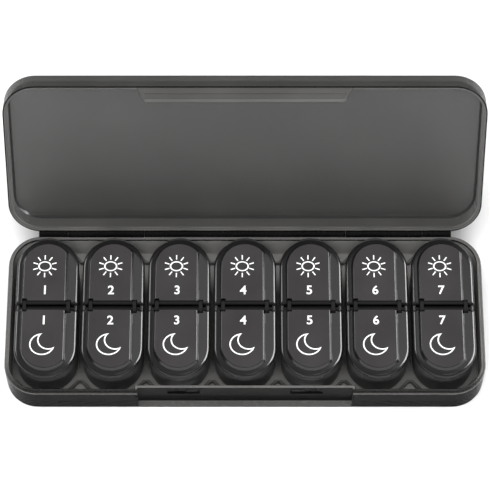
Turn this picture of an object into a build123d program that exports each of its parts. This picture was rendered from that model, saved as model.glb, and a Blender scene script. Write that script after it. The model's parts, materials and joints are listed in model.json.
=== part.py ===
"""Weekly pill box: a hinged case that holds seven lift-out day boxes, each with two flip lids.

Millimetres, +Z up. The origin is the centre of the tray's underside and the latch faces -Y.
The case lid is modelled standing open, tilted back on its hinge, with every flip lid closed.
"""

import math
import os

from build123d import *

os.makedirs("parts", exist_ok=True)

# Day boxes
days = 7
box_length = 66.0  # outline of a closed pair of flip lids
box_width = 27.4
lid_overhang = 0.5  # flip lid past the box wall
box_seat = 0.15  # box above the tray floor
box_body = 17.75  # from the box's underside to its rim
box_wall = 1.2
box_floor = 1.2
box_foot = 1.4  # bevel of the bottom edge
partition = 1.4
partition_rise = 0.9  # partition above the rim, between the two hinge rods

# Room around the day boxes, which sets the size of the case
day_gap = 1.6  # between neighbouring boxes
end_room = 2.1  # between the outermost boxes and the tray's end walls
row_room = 2.0  # between the boxes' round ends and the walls behind and before them
lid_headroom = 0.7  # between the flip lids and the closed case lid

# Tray
case_corner = 14.4  # corner radius of the case in plan
ledge_height = 15.2  # from the table to the ledge that the case lid closes on
tray_wall = 2.2
tray_floor = 1.6
tray_foot = 1.2  # bevel of the outer bottom edge
lip_height = 1.0  # inner lip above the ledge
lip_thickness = 1.0

# Case lid
lid_panel = 1.7
lid_wall = 1.8
lid_edge = 1.6  # rounding of the outer edge of the panel
lid_cove = 1.0  # bevel inside, where the walls meet the panel
lid_open_angle = 119.0
rim_seat = 0.15  # gap between the closed rim and the ledge
rim_gap = 0.15  # gap between the closed rim and the lip, also above the lip

# Case hinge
hinge_setback = 1.2  # from the back of the case to the pin's centre line
hinge_overrun = 1.4  # rail past the place where the case's corners start to curve
knuckle_radius = 1.6
lid_knuckle_length = 34.0
lid_knuckle_inset = 30.0  # from each end of the rail to the middle of a lid knuckle
knuckle_gap = 0.3  # clear space round a knuckle and at its ends
hinge_pin_radius = 0.7
hinge_pin_end = 0.5  # how far the pin stops short of the rail's ends
running_gap = 0.05  # radial clearance of every pin in its bore

# Front latch: a tongue on the case lid that drops into a recess of the tray
recess_width = 93.6
recess_wall = 1.2
recess_shelf = 1.2  # height of the foot left under the recess
tongue_root_gap = 0.4  # from each end of the recess to the root of the tongue
tongue_taper = 3.4  # how much narrower each end of the tongue is at its tip
tongue_drop = 9.4  # below the ledge when closed
tongue_setback = 0.5
tongue_thickness = 1.3
tongue_corner = 1.5
tongue_clear = 0.3  # between the snap ridges and the wall of the recess
grip_bar_top = 2.6  # grip bar across the tongue, measured down from the ledge
grip_bar_height = 2.3
snap_ridge_length = 12.6
snap_ridge_height = 1.8
snap_ridge_rise = 0.5
snap_ridge_taper = 30.0
snap_at = 26.8  # centre of each snap, from the middle of the case
snap_drop = 4.2  # below the ledge
snap_slot_gap = 0.8  # clear space round a ridge in its catch slot
tongue_rib = 0.9  # width of the stiffening ribs behind the tongue
tongue_rib_edge = 0.6  # from the tip's end to the outer ribs

# Locating ribs on the tray floor, hollow wedges between the round ends of the boxes
wedge_nose = 2.6  # width at the narrow end
wedge_slope = 0.93  # half-width gained for each millimetre towards the wall
wedge_wall = 0.8
wedge_height = 2.4
wedge_reach_front = 9.2
wedge_reach_back = 5.6

# Flip lids
lid_seat = 0.2  # flip lid above the box rim
plate = 2.0
plate_edge = 0.7  # bevel of the plate's top edge
panel_rise = 1.6  # raised panel above the plate
panel_bevel = 0.9  # how far the bevel comes in over that rise
panel_inset = 2.5  # foot of the bevel, in from the plate's edge
panel_side = 4.8  # the same on the straight right-hand side
panel_hinge_edge = 1.9  # foot of the bevel beside the hinge, from the middle of the box
panel_skin = 1.2
lid_split = 2.7  # gap between the two plates over the partition
plug_gap = 0.3  # rim under the plate, inside the box wall
plug_wall = 2.3  # from the plug's outside to the hollow under the panel
plug_depth = 1.2
plug_start = 6.0  # from the middle of the box
tab_width = 10.0  # lifting tab at the free end
tab_reach = 0.7
tab_thickness = 1.0

# Flip lid hinges: a rod along each lid's edge turns in the ears of the box
rod_radius = 0.8
rod_at = 1.5  # hinge line from the middle of the box
rod_rise = 2.2  # hinge line above the plate's underside
ear_inset = 4.1  # centre of each ear, in from the plate's edge
ear_width = 1.6
ear_wall = 0.5  # ear around the bore
ear_drop = 4.6  # foot of the ear on the partition, below the hinge line
notch_gap = 0.3  # between an ear and the sides of the plate's notch

# Sizes and positions that follow from those above: the boxes first, then the case around them
box_pitch = box_width + day_gap
box_bottom = tray_floor + box_seat
box_rim = box_bottom + box_body
plate_bottom = box_rim + lid_seat
panel_top = plate_bottom + plate + panel_rise
panel_cut = box_width / 2 - panel_side
rod_z = plate_bottom + rod_rise
bore_radius = rod_radius + running_gap
ear_radius = bore_radius + ear_wall
ear_at = box_width / 2 - ear_inset
ear_outer = ear_at + ear_width / 2
tongue_half = recess_width / 2 - tongue_root_gap
ridge_face = tongue_setback + tongue_thickness
recess_depth = ridge_face + snap_ridge_rise + tongue_clear
case_length = days * box_pitch - day_gap + 2 * (end_room + tray_wall)
case_depth = box_length + 2 * row_room + tray_wall + recess_wall + recess_depth
back_wall = case_depth / 2 - tray_wall
recess_inner = case_depth / 2 - recess_depth - recess_wall
row_y = (back_wall - recess_inner) / 2
lip_top = ledge_height + lip_height
rim_thickness = tray_wall - lip_thickness - rim_gap
lid_depth = panel_top + lid_headroom + lid_panel - ledge_height  # ledge to the lid's outside
hinge_y = case_depth / 2 + hinge_setback
hinge_length = case_length - 2 * (case_corner - hinge_overrun)
lid_knuckle_at = hinge_length / 2 - lid_knuckle_inset

open_angle = math.radians(lid_open_angle)
lid_plane = Plane(
    origin=(
        0,
        hinge_y - hinge_y * math.cos(open_angle),
        ledge_height + hinge_y * math.sin(open_angle),
    ),
    x_dir=(1, 0, 0),
    z_dir=(0, math.sin(open_angle), math.cos(open_angle)),
)
lid_up = Axis(lid_plane.origin, lid_plane.z_dir)
# Plane of the lid's front face: its own y runs down towards the tongue's tip, z runs inwards
lid_front = Plane(
    origin=lid_plane.from_local_coords((0, -case_depth / 2, 0)),
    x_dir=(1, 0, 0),
    z_dir=lid_plane.y_dir,
)


def case_outline(inset=0.0, mode=Mode.ADD):
    """Rounded rectangle of the case, drawn in by an inset."""
    RectangleRounded(
        case_length - 2 * inset, case_depth - 2 * inset, case_corner - inset, mode=mode
    )


def box_outline(inset=0.0, mode=Mode.ADD):
    """Round-ended outline of a day box, drawn in by an inset."""
    SlotOverall(box_length - 2 * inset, box_width - 2 * inset, rotation=90, mode=mode)


def plug_outline(inset=0.0):
    """Plan of the plug under a flip lid, clear of the box wall and of the hinge."""
    box_outline(lid_overhang + box_wall + plug_gap + inset)
    with Locations((0, plug_start + inset)):
        Rectangle(
            box_width, box_length, align=(Align.CENTER, Align.MIN), mode=Mode.INTERSECT
        )


def knuckle_profile(rise):
    """Hinge barrel with its gusset, which slopes back to the wall below or above the pin."""
    slope = math.copysign(math.sqrt(0.5) * knuckle_radius, rise)
    run = hinge_setback + abs(slope)
    root = -hinge_setback - knuckle_radius / 4
    Circle(knuckle_radius)
    Polygon(
        (root, 0),
        (0, 0),
        (abs(slope), slope),
        (-hinge_setback, slope + math.copysign(run, rise)),
        (root, slope + math.copysign(run, rise)),
        align=None,
    )


def wedge(reach, toward_wall, inset=0.0, mode=Mode.ADD):
    """Plan of a locating rib: its narrow end points at the boxes, its wide end lies on the wall."""
    nose = wedge_nose / 2 - inset
    tip = reach - inset
    foot = nose + tip * wedge_slope
    Polygon(
        (-nose, -toward_wall * tip),
        (nose, -toward_wall * tip),
        (foot, 0),
        (-foot, 0),
        align=None,
        mode=mode,
    )


def day_x(day):
    return (day - (days - 1) / 2) * box_pitch


# Tray: shallow smoked shell with a lipped rim, a latch recess in front and half of the hinge behind
tray_hinge = Plane(
    origin=(-hinge_length / 2, hinge_y, ledge_height), x_dir=(0, 1, 0), z_dir=(1, 0, 0)
)
wedge_x = [(day - days / 2) * box_pitch for day in range(days + 1)]

with BuildPart() as tray:
    with BuildSketch():
        case_outline()
    extrude(amount=ledge_height)
    chamfer(tray.faces().sort_by(Axis.Z)[0].edges(), tray_foot)
    with BuildSketch(Plane.XY.offset(ledge_height)):
        case_outline(tray_wall - lip_thickness)
    extrude(amount=lip_height)
    with BuildSketch(Plane.XY.offset(tray_floor)):
        case_outline(tray_wall)
    extrude(amount=lip_top - tray_floor, mode=Mode.SUBTRACT)

    # Locating ribs, front and back, kept inside the walls
    with BuildSketch(Plane.XY.offset(tray_floor)):
        for x in wedge_x:
            with Locations((x, -back_wall)):
                wedge(wedge_reach_front, -1)
                wedge(wedge_reach_front, -1, wedge_wall, Mode.SUBTRACT)
            with Locations((x, back_wall)):
                wedge(wedge_reach_back, 1)
                wedge(wedge_reach_back, 1, wedge_wall, Mode.SUBTRACT)
        case_outline(tray_wall / 2, Mode.INTERSECT)
    extrude(amount=wedge_height)

    # Latch recess: the wall steps in behind it, and two catch slots go through that wall
    with BuildSketch(Plane.XY.offset(tray_floor)):
        with Locations((0, -recess_inner)):
            Rectangle(
                recess_width + 2 * recess_wall,
                recess_depth + recess_wall - (tray_wall - lip_thickness),
                align=(Align.CENTER, Align.MAX),
            )
    extrude(amount=lip_top - tray_floor)
    with BuildSketch(Plane.XY.offset(recess_shelf)):
        with Locations((0, -case_depth / 2)):
            Rectangle(recess_width, 2 * recess_depth)
    extrude(amount=lip_top, mode=Mode.SUBTRACT)
    with BuildSketch(Plane.XZ.offset(recess_inner)):
        with Locations((-snap_at, ledge_height - snap_drop), (snap_at, ledge_height - snap_drop)):
            Rectangle(snap_ridge_length + 2 * snap_slot_gap, snap_ridge_height + 2 * snap_slot_gap)
    extrude(amount=recess_wall, mode=Mode.SUBTRACT)

    # Hinge rail, with gaps where the knuckles of the case lid turn
    with BuildSketch(tray_hinge):
        knuckle_profile(-1)
    extrude(amount=hinge_length)
    for side in (-1, 1):
        gap_start = side * lid_knuckle_at - lid_knuckle_length / 2 - knuckle_gap
        gap_plane = Plane(
            origin=(gap_start, hinge_y, ledge_height), x_dir=(0, 1, 0), z_dir=(1, 0, 0)
        )
        with BuildSketch(gap_plane):
            Circle(knuckle_radius + knuckle_gap)
            with Locations((-hinge_setback, 0)):
                Rectangle(case_depth, case_depth, align=(Align.MIN, Align.CENTER))
        extrude(amount=lid_knuckle_length + 2 * knuckle_gap, mode=Mode.SUBTRACT)
    with BuildSketch(tray_hinge):
        Circle(hinge_pin_radius + running_gap)
    extrude(amount=hinge_length, mode=Mode.SUBTRACT)
tray.part.label = "tray"
export_step(tray.part, "parts/tray.step")

# Case hinge pin: one straight rod through every knuckle
with BuildPart() as case_hinge_pin:
    with BuildSketch(tray_hinge.offset(hinge_pin_end)):
        Circle(hinge_pin_radius)
    extrude(amount=hinge_length - 2 * hinge_pin_end)
case_hinge_pin.part.label = "case_hinge_pin"
export_step(case_hinge_pin.part, "parts/case_hinge_pin.step")

# Case lid: clear smoked shell with a stepped rim, a latch tongue in front and two hinge knuckles
with BuildPart() as case_lid:
    with BuildSketch(lid_plane.offset(rim_seat)):
        case_outline()
    extrude(amount=lid_depth - rim_seat)
    fillet(case_lid.faces().sort_by(lid_up)[-1].edges(), lid_edge)
    with BuildSketch(lid_plane.offset(rim_seat)):
        case_outline(lid_wall)
    extrude(amount=lid_depth - lid_panel - rim_seat, mode=Mode.SUBTRACT)
    lid_inside = case_lid.faces().filter_by(lid_up).sort_by(lid_up)[-2]
    chamfer(lid_inside.edges(), lid_cove)
    with BuildSketch(lid_plane.offset(rim_seat)):
        case_outline(rim_thickness)
    extrude(amount=lip_height + rim_gap, mode=Mode.SUBTRACT)

    # Latch tongue with its grip bar, two snap ridges and stiffening ribs
    with BuildSketch(lid_front.offset(tongue_setback)) as tongue_sketch:
        Polygon(
            (-tongue_half, -lip_height - rim_gap - rim_seat),
            (tongue_half, -lip_height - rim_gap - rim_seat),
            (tongue_half, 0),
            (tongue_half - tongue_taper, tongue_drop),
            (tongue_taper - tongue_half, tongue_drop),
            (-tongue_half, 0),
            align=None,
        )
        fillet(tongue_sketch.vertices().group_by(Axis.Y)[-1], tongue_corner)
    extrude(amount=tongue_thickness)
    with BuildSketch(lid_front):
        with Locations((0, grip_bar_top + grip_bar_height / 2)):
            Rectangle(2 * (tongue_half - tongue_taper), grip_bar_height)
    extrude(amount=tongue_setback)
    with BuildSketch(lid_front.offset(ridge_face)):
        with Locations((-snap_at, snap_drop), (snap_at, snap_drop)):
            Rectangle(snap_ridge_length, snap_ridge_height)
    extrude(amount=snap_ridge_rise, taper=snap_ridge_taper)
    outer_rib = tongue_half - tongue_taper - tongue_corner - tongue_rib_edge
    with BuildSketch(lid_front.offset(ridge_face)):
        rib_x = (-outer_rib, -box_pitch / 2, box_pitch / 2, outer_rib)
        with Locations(*[(x, tongue_drop) for x in rib_x]):
            Rectangle(
                tongue_rib,
                tongue_drop + lid_depth - lid_panel,
                align=(Align.CENTER, Align.MAX),
            )
    extrude(amount=snap_ridge_rise)

    # Hinge side: the wall clears the tray's rail, then carries its own two knuckles
    rail_plane = Plane(
        origin=lid_plane.from_local_coords((-hinge_length / 2 - knuckle_gap, hinge_y, 0)),
        x_dir=lid_plane.y_dir,
        z_dir=(1, 0, 0),
    )
    with BuildSketch(rail_plane):
        Circle(knuckle_radius + knuckle_gap)
    extrude(amount=hinge_length + 2 * knuckle_gap, mode=Mode.SUBTRACT)
    for side in (-1, 1):
        knuckle_start = side * lid_knuckle_at - lid_knuckle_length / 2
        knuckle_plane = rail_plane.offset(knuckle_start + hinge_length / 2 + knuckle_gap)
        with BuildSketch(knuckle_plane):
            knuckle_profile(1)
            Circle(hinge_pin_radius + running_gap, mode=Mode.SUBTRACT)
        extrude(amount=lid_knuckle_length)
case_lid.part.label = "case_lid"
export_step(case_lid.part, "parts/case_lid.step")

# Day boxes: round-ended cups split by a partition, whose ears carry the two flip lids
ear_half = rod_at + ear_radius
ear_slope = ear_radius * math.tan(math.pi / 8)

for day in range(days):
    box_plane = Plane(origin=(day_x(day), row_y, box_bottom))
    with BuildPart() as day_box:
        with BuildSketch(box_plane):
            box_outline(lid_overhang)
        extrude(amount=box_body)
        chamfer(day_box.faces().sort_by(Axis.Z)[0].edges(), box_foot)
        with BuildSketch(box_plane.offset(box_floor)):
            box_outline(lid_overhang + box_wall)
        extrude(amount=box_body - box_floor, mode=Mode.SUBTRACT)
        with BuildSketch(box_plane.offset(box_floor)):
            Rectangle(box_width - 2 * lid_overhang - box_wall, partition)
        extrude(amount=box_body - box_floor)
        with BuildSketch(box_plane.offset(box_body)):
            Rectangle(2 * ear_outer, partition)
        extrude(amount=partition_rise)
        for side in (-1, 1):
            ear_plane = Plane(
                origin=(day_x(day) + side * ear_at - ear_width / 2, row_y, rod_z),
                x_dir=(0, 1, 0),
                z_dir=(1, 0, 0),
            )
            with BuildSketch(ear_plane):
                Polygon(
                    (-rod_at - ear_slope, ear_radius),
                    (rod_at + ear_slope, ear_radius),
                    (ear_half, ear_slope),
                    (ear_half, -ear_slope),
                    (partition / 2, -ear_drop),
                    (-partition / 2, -ear_drop),
                    (-ear_half, -ear_slope),
                    (-ear_half, ear_slope),
                    align=None,
                )
                with Locations((-rod_at, 0), (rod_at, 0)):
                    Circle(bore_radius, mode=Mode.SUBTRACT)
            extrude(amount=ear_width)
    box_name = f"day_box_{day + 1}"
    day_box.part.label = box_name
    export_step(day_box.part, f"parts/{box_name}.step")

# Flip lids: the sun lid covers the back half of a box and the moon lid the front half
for lid_kind, facing in (("sun", 1), ("moon", -1)):
    for day in range(days):
        lid_base = Plane(
            origin=(day_x(day), row_y, plate_bottom), x_dir=(facing, 0, 0), z_dir=(0, 0, 1)
        )
        rod_plane = Plane(
            origin=(day_x(day), row_y + facing * rod_at, rod_z), z_dir=(1, 0, 0)
        )
        with BuildPart() as flip_lid:
            with BuildSketch(lid_base):
                box_outline()
                with Locations((0, lid_split / 2)):
                    Rectangle(
                        box_width,
                        box_length,
                        align=(Align.CENTER, Align.MIN),
                        mode=Mode.INTERSECT,
                    )
            extrude(amount=plate)
            chamfer(flip_lid.faces().sort_by(Axis.Z)[-1].edges(), plate_edge)

            # Raised panel: its bevel follows the round end, but runs straight on the right-hand side
            with BuildSketch(lid_base.offset(plate)):
                box_outline(panel_inset)
                with Locations((facing * (panel_cut - box_width), panel_hinge_edge)):
                    Rectangle(
                        2 * box_width,
                        box_length,
                        align=(Align.CENTER, Align.MIN),
                        mode=Mode.INTERSECT,
                    )
            extrude(
                amount=panel_rise,
                taper=math.degrees(math.atan2(panel_bevel, panel_rise)),
            )

            # Plug that drops into the box, hollowed up into the panel
            with BuildSketch(lid_base.offset(-plug_depth)):
                plug_outline()
            extrude(amount=plug_depth)
            with BuildSketch(lid_base.offset(-plug_depth)):
                plug_outline(plug_wall)
            extrude(
                amount=plug_depth + plate + panel_rise - panel_skin, mode=Mode.SUBTRACT
            )

            # Notches for the ears, then the hinge rod across them
            with BuildSketch(lid_base):
                with Locations((-ear_at, rod_at), (ear_at, rod_at)):
                    Rectangle(ear_width + 2 * notch_gap, 2 * (ear_radius + notch_gap))
            extrude(amount=plate + panel_rise, mode=Mode.SUBTRACT)
            with BuildSketch(rod_plane):
                Circle(rod_radius)
            extrude(amount=ear_outer, both=True)

            # Lifting tab at the free end
            with BuildSketch(lid_base):
                box_outline(-tab_reach)
                with Locations((0, box_length / 2 - box_width / 4)):
                    Rectangle(
                        tab_width,
                        box_width,
                        align=(Align.CENTER, Align.MIN),
                        mode=Mode.INTERSECT,
                    )
            extrude(amount=tab_thickness)
        lid_name = f"{lid_kind}_lid_{day + 1}"
        flip_lid.part.label = lid_name
        export_step(flip_lid.part, f"parts/{lid_name}.step")
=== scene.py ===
"""Looks of the weekly pill box: smoked case, dark day boxes with flip lids, white prints."""

import json
import math

import bmesh
import bpy
from mathutils import Matrix, Vector

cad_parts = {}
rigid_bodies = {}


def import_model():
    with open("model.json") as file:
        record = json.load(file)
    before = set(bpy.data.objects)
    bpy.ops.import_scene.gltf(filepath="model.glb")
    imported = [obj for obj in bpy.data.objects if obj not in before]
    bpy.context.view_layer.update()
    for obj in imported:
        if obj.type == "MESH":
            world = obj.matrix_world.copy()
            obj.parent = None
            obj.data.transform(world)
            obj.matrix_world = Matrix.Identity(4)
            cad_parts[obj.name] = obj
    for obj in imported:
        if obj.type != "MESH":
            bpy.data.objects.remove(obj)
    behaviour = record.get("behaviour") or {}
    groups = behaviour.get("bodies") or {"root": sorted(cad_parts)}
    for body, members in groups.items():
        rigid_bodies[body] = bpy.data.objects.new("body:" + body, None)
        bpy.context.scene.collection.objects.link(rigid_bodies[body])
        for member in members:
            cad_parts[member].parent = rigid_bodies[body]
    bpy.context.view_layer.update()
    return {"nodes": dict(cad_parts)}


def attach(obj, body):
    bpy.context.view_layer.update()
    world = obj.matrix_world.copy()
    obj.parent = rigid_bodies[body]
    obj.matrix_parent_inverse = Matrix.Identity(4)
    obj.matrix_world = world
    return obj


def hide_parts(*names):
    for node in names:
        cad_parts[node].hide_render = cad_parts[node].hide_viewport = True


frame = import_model()

# Tray: the lower shell of the case, moulded in one piece from dark smoked plastic. Its rim steps
# up to a lip inside the ledge, the latch recess is sunk into its front, and its back carries the
# hinge rail. Sizes are millimetres.
mm = 0.001
case_length = 210.0
case_depth = 76.0
case_corner = 14.4
ledge_height = 15.2
lip_height = 1.0
lip_inset = 1.2
tray_wall = 2.2
tray_floor = 1.6
tray_foot = 0.5
tray_round = 0.3
lip_round = 0.25
lip_root_round = 0.1
floor_round = 0.5
under_inset = 3.0  # where the flat underside starts
floor_inset = 4.0  # where the flat floor starts
recess_half = 46.8
recess_depth = 2.6
recess_wall = 1.2
recess_shelf = 1.2
recess_edge = 0.25
catch_at = 26.8
catch_length = 14.2
catch_height = 3.4
catch_drop = 4.2
catch_edge = 0.2
catch_cut = (-1.0, 2.0)  # where the cutter of a slot starts and ends, from the recess
hinge_line = (39.2, ledge_height)  # y and z of the hinge pin
hinge_half = 92.0
knuckle_radius = 1.6
knuckle_gap = 0.12
knuckle_at = 62.0
knuckle_half = 17.0
knuckle_sweep = 225.0  # degrees of the barrel that stand clear of its gusset
knuckle_steps = 18
pin_bore = 0.75
bore_reach = (-100.0, 100.0)  # past both ends of the hinge
overlap = 0.4  # how far the recess and the ribs reach into the floor
clear_front = 5.0  # how far a cutter starts before the front of the case
clear_top = 30.0  # height above the whole case
smooth_angle = math.radians(40)  # sharper edges stay sharp
in_scene = bpy.context.scene.collection.objects


def rounded_path(corners, steps=4):
    """Line through (x, y, radius) corners, with an arc of that radius in place of each corner."""
    path = []
    for before, here, after in zip([None] + corners[:-1], corners, corners[1:] + [None]):
        corner, radius = Vector(here[:2]), here[2]
        if before is None or after is None or radius == 0:
            path.append(corner)
            continue
        back = (Vector(before[:2]) - corner).normalized()
        on = (Vector(after[:2]) - corner).normalized()
        half = back.angle(on) / 2
        centre = corner + (back + on).normalized() * radius / math.sin(half)
        start = corner + back * radius / math.tan(half) - centre
        end = corner + on * radius / math.tan(half) - centre
        for step in range(steps + 1):
            path.append(centre + start.lerp(end, step / steps).normalized() * radius)
    return path


def rounded_rectangle(size, radius, inset, height, centre=(0.0, 0.0), steps=12):
    """Ring of points round a rectangle with round corners, drawn in by an inset."""
    ring = []
    for quarter, (x_side, y_side) in enumerate(((1, 1), (-1, 1), (-1, -1), (1, -1))):
        for step in range(steps + 1):
            turn = (quarter + step / steps) * math.pi / 2
            x = x_side * (size[0] / 2 - radius) + (radius - inset) * math.cos(turn)
            y = y_side * (size[1] / 2 - radius) + (radius - inset) * math.sin(turn)
            ring.append((centre[0] + x, centre[1] + y, height))
    return ring


def loft(rings, ring_shaped=False):
    """Closed shell over rings of equally many points: flat at each end, or joined end to end."""
    shell = bmesh.new()
    loops = [[shell.verts.new(point) for point in ring] for ring in rings]
    if ring_shaped:
        loops.append(loops[0])
    for lower, upper in zip(loops, loops[1:]):
        for i in range(len(lower)):
            shell.faces.new((lower[i - 1], lower[i], upper[i], upper[i - 1]))
    if not ring_shaped:
        shell.faces.new(loops[0][::-1])
        shell.faces.new(loops[-1])
    bmesh.ops.recalc_face_normals(shell, faces=shell.faces)
    return shell


def block(low, high, edge):
    """Block between two corners, with every edge rounded."""
    size = [b - a for a, b in zip(low, high)]
    centre = [(a + b) / 2 for a, b in zip(low, high)]
    corner, flat = 1.5 * edge, 1.4 * edge  # radius of the upright edges, and where the ends begin
    side = rounded_path(
        [(flat, low[2], 0), (0, low[2], edge), (0, high[2], edge), (flat, high[2], 0)], 3
    )
    return loft([rounded_rectangle(size, corner, inset, z, centre, 3) for inset, z in side])


def rod(radius, x_range, y, z, steps=24):
    """Round bar along x."""
    turns = [step / steps * math.tau for step in range(steps)]
    return loft(
        [
            [(x, y + radius * math.cos(turn), z + radius * math.sin(turn)) for turn in turns]
            for x in x_range
        ]
    )


def together(shells):
    """Several shells as one."""
    whole = bmesh.new()
    for shell in shells:
        mesh = bpy.data.meshes.new("part")
        shell.to_mesh(mesh)
        whole.from_mesh(mesh)
        bpy.data.meshes.remove(mesh)
        shell.free()
    return whole


def plain_mesh(source):
    """Mesh of an object after its modifiers or its curve outline. The object is used up."""
    in_scene.link(source)
    bpy.context.view_layer.update()
    mesh = bpy.data.meshes.new_from_object(
        source.evaluated_get(bpy.context.evaluated_depsgraph_get())
    )
    bpy.data.objects.remove(source)
    return mesh


def carve(shell, cutters, operation="DIFFERENCE"):
    """Shell with each cutter taken from it, joined to it, or kept as its limit."""
    solids = []
    for part in [shell] + cutters:
        mesh = bpy.data.meshes.new("carving")
        part.to_mesh(mesh)
        part.free()
        solids.append(bpy.data.objects.new("carving", mesh))
    meshes = [solid.data for solid in solids]
    for cutter in solids[1:]:
        in_scene.link(cutter)
        step = solids[0].modifiers.new("Carve", "BOOLEAN")
        step.operation = operation
        step.solver = "EXACT"
        step.object = cutter
    meshes.append(plain_mesh(solids[0]))
    result = bmesh.new()
    result.from_mesh(meshes[-1])
    for mesh in meshes:
        bpy.data.meshes.remove(mesh)
    return result


def moulding(name, shell, finishes, place=Matrix.Identity(4)):
    """Finished piece from a shell drawn in millimetres: flats stay flat, rounded edges are smooth."""
    mesh = bpy.data.meshes.new(name)
    shell.to_mesh(mesh)
    mesh.transform(Matrix.Scale(mm, 4) @ place)
    mesh.shade_smooth()
    mesh.set_sharp_from_angle(angle=smooth_angle)
    rough = bpy.data.objects.new(name, mesh)
    rough.modifiers.new("Flat faces", "WEIGHTED_NORMAL").keep_sharp = True
    finished = plain_mesh(rough)
    bpy.data.meshes.remove(mesh)
    finished.name = name
    for finish in finishes:
        finished.materials.append(finish)
    piece = bpy.data.objects.new(name, finished)
    in_scene.link(piece)
    return piece


def knuckle(x_range, rise):
    """Hinge barrel with a gusset that slopes to the case, below the pin (-1) or above it (1)."""
    section = []
    for step in range(knuckle_steps + 1):
        turn = math.radians(180 - knuckle_sweep * step / knuckle_steps)
        section.append((knuckle_radius * math.cos(turn), knuckle_radius * math.sin(turn)))
    slope = knuckle_radius * math.sqrt(0.5)
    set_back = hinge_line[0] - case_depth / 2
    root = -slope - set_back - slope
    section += [(-set_back, root), (-knuckle_radius, root)]
    return loft(
        [[(x, hinge_line[0] + y, hinge_line[1] - rise * z) for y, z in section] for x in x_range]
    )


tray_section = rounded_path(
    [
        (under_inset, 0, 0),
        (tray_foot, 0, tray_round),
        (0, tray_foot, tray_round),
        (0, ledge_height, tray_round),
        (lip_inset, ledge_height, lip_root_round),
        (lip_inset, ledge_height + lip_height, lip_round),
        (tray_wall, ledge_height + lip_height, lip_round),
        (tray_wall, ledge_height, 0),
        (tray_wall, tray_floor, floor_round),
        (floor_inset, tray_floor, 0),
    ]
)
case_size = (case_length, case_depth)
tray_shell = loft([rounded_rectangle(case_size, case_corner, inset, z) for inset, z in tray_section])
front = -case_depth / 2
recess_back = front + recess_depth
tray_shell = carve(
    tray_shell,
    [
        block(
            (-recess_half - recess_wall, front + lip_inset, tray_floor - overlap),
            (recess_half + recess_wall, recess_back + recess_wall, ledge_height + lip_height),
            recess_edge,
        )
    ],
    "UNION",
)
tray_cutters = [
    block(
        (-recess_half, front - clear_front, recess_shelf),
        (recess_half, recess_back, clear_top),
        recess_edge,
    )
]
catch_level = ledge_height - catch_drop
for side in (-1, 1):
    catch_x = side * catch_at
    tray_cutters.append(
        block(
            (catch_x - catch_length / 2, recess_back + catch_cut[0], catch_level - catch_height / 2),
            (catch_x + catch_length / 2, recess_back + catch_cut[1], catch_level + catch_height / 2),
            catch_edge,
        )
    )
    knuckle_room = [side * knuckle_at + end * (knuckle_half + knuckle_gap) for end in (-1, 1)]
    tray_cutters.append(rod(knuckle_radius + knuckle_gap, knuckle_room, *hinge_line))
tray_shell = carve(tray_shell, tray_cutters)

rail_end = knuckle_at - knuckle_half - knuckle_gap
rail_start = knuckle_at + knuckle_half + knuckle_gap
tray_rail = together(
    [
        knuckle((-hinge_half, -rail_start), -1),
        knuckle((-rail_end, rail_end), -1),
        knuckle((rail_start, hinge_half), -1),
    ]
)
tray_rail = carve(tray_rail, [rod(pin_bore, bore_reach, *hinge_line)])


def plastic(name, colour, gloss, ior, flow_scale, tints, haze, polish, peel):
    """Moulded plastic: a cloudy tint, and a fine haze that varies its polish and lifts its skin."""
    material = bpy.data.materials.new(name)
    material.use_nodes = True
    nodes, links = material.node_tree.nodes, material.node_tree.links
    shader = nodes["Principled BSDF"]
    shader.inputs["IOR"].default_value = ior
    shader.inputs["Specular IOR Level"].default_value = gloss
    place = nodes.new("ShaderNodeTexCoord")
    flow = nodes.new("ShaderNodeTexNoise")
    flow.inputs["Scale"].default_value = flow_scale
    flow.inputs["Detail"].default_value = 3.0
    tint = nodes.new("ShaderNodeValToRGB")
    for stop, (position, share) in zip(tint.color_ramp.elements, tints):
        stop.position = position
        stop.color = [c * share for c in colour] + [1.0]
    fine = nodes.new("ShaderNodeTexNoise")
    fine.inputs["Scale"].default_value, fine.inputs["Detail"].default_value = haze
    rough = nodes.new("ShaderNodeMapRange")
    rough.inputs["To Min"].default_value, rough.inputs["To Max"].default_value = polish
    bump = nodes.new("ShaderNodeBump")
    bump.inputs["Strength"].default_value, bump.inputs["Distance"].default_value = peel
    for source, target in (
        (place.outputs["Object"], flow.inputs["Vector"]),
        (place.outputs["Object"], fine.inputs["Vector"]),
        (flow.outputs["Fac"], tint.inputs["Fac"]),
        (tint.outputs["Color"], shader.inputs["Base Color"]),
        (fine.outputs["Fac"], rough.inputs["Value"]),
        (rough.outputs["Result"], shader.inputs["Roughness"]),
        (fine.outputs["Fac"], bump.inputs["Height"]),
        (bump.outputs["Normal"], shader.inputs["Normal"]),
    ):
        links.new(source, target)
    return material


def smoked_plastic(name, colour, clearness, roughness, gloss):
    """Polished smoked plastic: a dark tint, some light let through, faint waviness from the mould."""
    material = plastic(
        name,
        colour,
        gloss,
        ior=1.55,
        flow_scale=38.0,
        tints=((0.35, 0.9), (0.65, 1.08)),
        haze=(420.0, 4.0),
        polish=(roughness * 0.75, roughness * 1.35),
        peel=(0.03, 0.02 * mm),
    )
    material.node_tree.nodes["Principled BSDF"].inputs["Alpha"].default_value = 1.0 - clearness
    return material


near = 0.1  # how close to a level a face still counts as lying on it
rim_band = 0.6  # how far the rim's painted shade reaches down from the ledge
ledge_edge = 0.4  # width of the painted highlight on the ledge
lip_crown = 0.15  # depth of the painted highlight on the lip


def from_edge(x, y):
    """How far a point lies inside the outline of the case."""
    along = abs(x) - case_length / 2 + case_corner
    across = abs(y) - case_depth / 2 + case_corner
    if min(along, across) > 0:
        return case_corner - math.hypot(along, across)
    return case_corner - max(along, across)


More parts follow.
